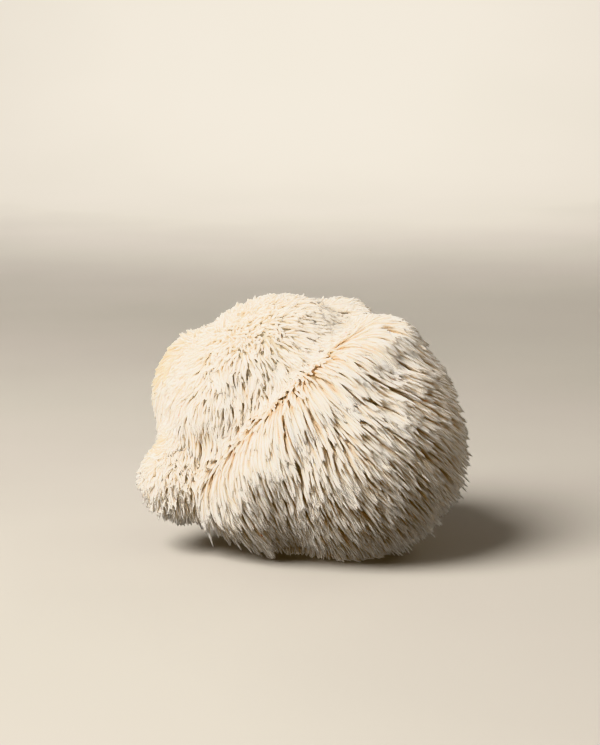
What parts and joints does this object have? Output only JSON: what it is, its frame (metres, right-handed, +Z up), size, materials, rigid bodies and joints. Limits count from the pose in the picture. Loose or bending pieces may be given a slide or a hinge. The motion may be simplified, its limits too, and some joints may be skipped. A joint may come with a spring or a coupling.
{
  "type": "lion's mane mushroom",
  "caption": "Rounded cluster of swollen lobes covered all over in hanging soft spines, cut off flat underneath so that it rests on its base.",
  "frame": {"origin": "middle of the bounding box in plan, on the plane that the cut base rests on", "axes": "+Z up, +X to the viewer's right and +Y away from a viewer who faces the broad fold between the crown and the mane"},
  "size_m": [0.135, 0.116, 0.105],
  "materials": {
    "flesh": "soft, moist and matt mushroom flesh, creamy white spines with warm roots"
  },
  "bodies": {
    "root": {"fruiting_body": "flesh"}
  },
  "joints": []
}
